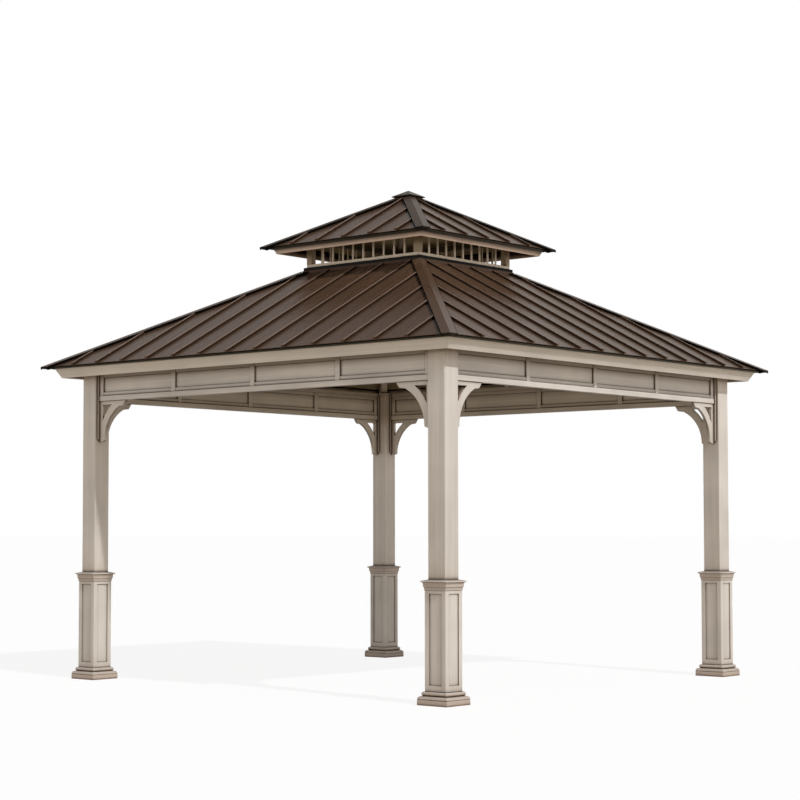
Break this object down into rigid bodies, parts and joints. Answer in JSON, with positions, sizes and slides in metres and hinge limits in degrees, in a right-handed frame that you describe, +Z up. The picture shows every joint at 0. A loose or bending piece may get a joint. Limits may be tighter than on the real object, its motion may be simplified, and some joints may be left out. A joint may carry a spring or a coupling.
{
  "type": "garden gazebo",
  "caption": "Square metal gazebo with open sides, panelled post pedestals, framed headers, curved braces, a standing seam hip roof and a vented cupola.",
  "frame": {"origin": "on the ground under the middle of the roof", "axes": "+Z up, -Y out of the front side, +X out of the right side"},
  "size_m": [3.648, 3.648, 3.4341],
  "materials": {
    "frame_metal": "beige powder coat with a faint brushed streak",
    "panel_metal": "beige powder coat on pressed sheet",
    "rafter_metal": "matt taupe powder coat",
    "roof_steel": "satin bronze brown coil coating",
    "trim_metal": "satin near black coating"
  },
  "bodies": {
    "root": {"plinths": "frame_metal", "pedestal_bases": "frame_metal", "pedestal_front_left": "frame_metal", "pedestal_front_right": "frame_metal", "pedestal_back_right": "frame_metal", "pedestal_back_left": "frame_metal", "pedestal_crowns": "frame_metal", "post_front_left": "frame_metal", "post_front_right": "frame_metal", "post_back_right": "frame_metal", "post_back_left": "frame_metal", "header_strips": "frame_metal", "header_frame_front": "frame_metal", "header_frame_right": "frame_metal", "header_frame_back": "frame_metal", "header_frame_left": "frame_metal", "header_panels_front": "panel_metal", "header_panels_right": "panel_metal", "header_panels_back": "panel_metal", "header_panels_left": "panel_metal", "braces_front_left": "frame_metal", "braces_front_right": "frame_metal", "braces_back_right": "frame_metal", "braces_back_left": "frame_metal", "hip_rafters": "rafter_metal", "common_rafters": "rafter_metal", "eave_trim": "trim_metal", "fascia_front": "frame_metal", "fascia_right": "frame_metal", "fascia_back": "frame_metal", "fascia_left": "frame_metal", "roof_front": "roof_steel", "roof_right": "roof_steel", "roof_back": "roof_steel", "roof_left": "roof_steel", "roof_hip_caps": "roof_steel", "cupola_curb": "trim_metal", "cupola_base_rails": "frame_metal", "cupola_posts": "frame_metal", "cupola_balusters": "frame_metal", "cupola_plates": "frame_metal", "cupola_hip_rafters": "rafter_metal", "cupola_trim": "trim_metal", "cupola_fascia": "frame_metal", "cupola_roof": "roof_steel", "cupola_hip_caps": "roof_steel", "top_cap": "roof_steel"}
  },
  "joints": []
}
